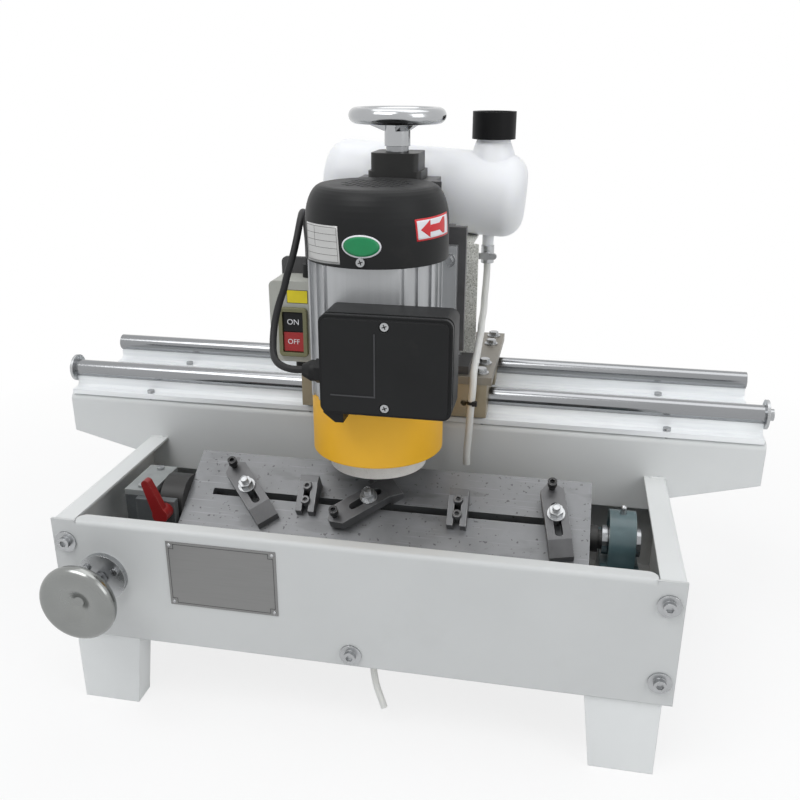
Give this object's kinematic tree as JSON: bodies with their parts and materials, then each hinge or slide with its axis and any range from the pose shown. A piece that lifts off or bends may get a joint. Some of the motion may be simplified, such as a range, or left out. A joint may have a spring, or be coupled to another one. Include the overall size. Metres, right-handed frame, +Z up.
{
  "type": "planer knife grinder",
  "caption": "Bench grinder for straight planer knives: a vertical motor with a cup wheel slides on two round rails over a worm-tilted clamping table in a coolant tray.",
  "frame": {"origin": "middle of the footprint of the whole machine, on the floor under its legs", "axes": "+X to the operator's right along the rails, +Y from the front panel to the back, +Z up"},
  "size_m": [0.818, 0.446, 0.5982],
  "materials": {
    "white_paint": "smooth satin enamel",
    "tray_paint": "satin enamel",
    "ground_steel": "ground and polished",
    "rail_alloy": "extruded, plain",
    "zinc": "zinc plated",
    "plate_metal": "brushed, bare",
    "grey_iron": "hammered enamel",
    "green_iron": "gloss enamel on cast iron",
    "chrome": "polished chrome",
    "carriage_steel": "dull taupe enamel",
    "black_paint": "satin enamel",
    "hammered_grey": "speckled enamel",
    "white_plastic": "milky",
    "black_plastic": "fine grain",
    "motor_alloy": "cast, silver painted",
    "copper": "wound and varnished",
    "bronze": "turned",
    "guard_yellow": "gloss enamel",
    "switch_grey": "hammered enamel",
    "abrasive": "bonded white alumina",
    "table_steel": "ground, worn",
    "black_oxide": "blackened",
    "red_paint": "glossy",
    "rubber": "smooth jacket",
    "hose": "soft clear-white tubing"
  },
  "bodies": {
    "frame": {"front_panel": "white_paint", "side_walls": "white_paint", "tray": "tray_paint", "rear_beam": "white_paint", "legs": "white_paint", "rail_supports": "rail_alloy", "rail_shafts": "ground_steel", "rail_screws": "zinc", "frame_bolts": "zinc", "nameplate": "plate_metal", "worm_flange": "zinc", "gearbox_body": "grey_iron", "gearbox_lid": "grey_iron", "pillow_block": "green_iron", "pillow_bearing": "ground_steel", "drain_hose": "hose"},
    "carriage": {"carriage_plate": "carriage_steel", "bearing_blocks": "carriage_steel", "carriage_bolts": "zinc", "column": "black_paint", "screw_housing": "black_paint", "tank_bracket": "hammered_grey", "tank": "white_plastic", "valve_body": "chrome", "coolant_hose": "hose"},
    "head": {"saddle": "black_paint", "lift_nut": "bronze", "motor_body": "motor_alloy", "stator": "copper", "fan_cover": "black_plastic", "terminal_box": "black_plastic", "terminal_cover": "black_plastic", "motor_bolts": "zinc", "wheel_guard": "guard_yellow", "switch_box": "switch_grey", "cable_glands": "black_plastic", "motor_cable": "rubber"},
    "lift_screw": {"lead_screw": "ground_steel", "lift_handwheel": "chrome"},
    "spindle": {"motor_shaft": "ground_steel", "cooling_fan": "black_plastic", "grinding_wheel": "abrasive"},
    "table": {"table": "table_steel", "trunnions": "black_oxide", "worm_wheel": "bronze"},
    "worm": {"worm_shaft": "ground_steel", "tilt_handwheel": "chrome"},
    "lock_lever": {"lock_lever": "red_paint"},
    "tank_cap": {"tank_cap": "black_plastic"},
    "valve_tap": {"valve_tap": "chrome"},
    "on_button": {"on_button": "black_plastic"},
    "off_button": {"off_button": "red_paint"},
    "clamp_left": {"clamp_left_strap": "black_oxide", "clamp_left_bolt": "zinc"},
    "clamp_middle": {"clamp_middle_strap": "black_oxide", "clamp_middle_bolt": "zinc"},
    "clamp_right": {"clamp_right_strap": "black_oxide", "clamp_right_bolt": "zinc"},
    "stop_left": {"stop_left": "black_oxide"},
    "stop_right": {"stop_right": "black_oxide"}
  },
  "joints": [
    {"name": "carriage_slide", "type": "slide", "parent": "frame", "child": "carriage", "axis": [1, 0, 0], "range_m": [-0.29, 0.29]},
    {"name": "lift_turn", "type": "hinge", "parent": "carriage", "child": "lift_screw", "pos_m": [0, 0.067, 0.55], "axis": [0, 0, 1], "range_deg": [-810, 3600]},
    {"name": "head_lift", "type": "slide", "parent": "carriage", "child": "head", "axis": [0, 0, 1], "range_m": [-0.009, 0.04]},
    {"name": "spindle_turn", "type": "hinge", "parent": "head", "child": "spindle", "pos_m": [0, -0.033, 0.39], "axis": [0, 0, 1], "continuous": true},
    {"name": "worm_turn", "type": "hinge", "parent": "frame", "child": "worm", "pos_m": [-0.254, -0.165, 0.1565], "axis": [0, 1, 0], "range_deg": [-972, 828]},
    {"name": "table_tilt", "type": "hinge", "parent": "frame", "child": "table", "pos_m": [0, -0.049, 0.187], "axis": [1, 0, 0], "range_deg": [-23, 27]},
    {"name": "lock_turn", "type": "hinge", "parent": "frame", "child": "lock_lever", "pos_m": [-0.22, -0.095, 0.194], "axis": [0, 1, 0], "range_deg": [-30, 30]},
    {"name": "cap_lift", "type": "slide", "parent": "carriage", "child": "tank_cap", "axis": [0, 0, 1], "range_m": [0, 0.06]},
    {"name": "tap_turn", "type": "hinge", "parent": "carriage", "child": "valve_tap", "pos_m": [0.09, 0.1395, 0.43484], "axis": [0, 1, 0], "range_deg": [0, 90]},
    {"name": "on_press", "type": "slide", "parent": "head", "child": "on_button", "axis": [0, 1, 0], "range_m": [0, 0.003], "stiffness_N_per_m": 400},
    {"name": "off_press", "type": "slide", "parent": "head", "child": "off_button", "axis": [0, 1, 0], "range_m": [0, 0.003], "stiffness_N_per_m": 400},
    {"name": "clamp_left_slide", "type": "slide", "parent": "table", "child": "clamp_left", "axis": [1, 0, 0], "range_m": [-0.012, 0.008]},
    {"name": "clamp_middle_slide", "type": "slide", "parent": "table", "child": "clamp_middle", "axis": [1, 0, 0], "range_m": [-0.008, 0.015]},
    {"name": "clamp_right_slide", "type": "slide", "parent": "table", "child": "clamp_right", "axis": [1, 0, 0], "range_m": [-0.02, 0]},
    {"name": "stop_left_slide", "type": "slide", "parent": "table", "child": "stop_left", "axis": [1, 0, 0], "range_m": [-0.004, 0.004]},
    {"name": "stop_right_slide", "type": "slide", "parent": "table", "child": "stop_right", "axis": [1, 0, 0], "range_m": [-0.02, 0.02]}
  ],
  "couplings": [
    {"joint": "lift_turn", "follows": "head_lift", "rad_per_m": 1570.8},
    {"joint": "table_tilt", "follows": "worm_turn", "ratio": -0.027778}
  ]
}
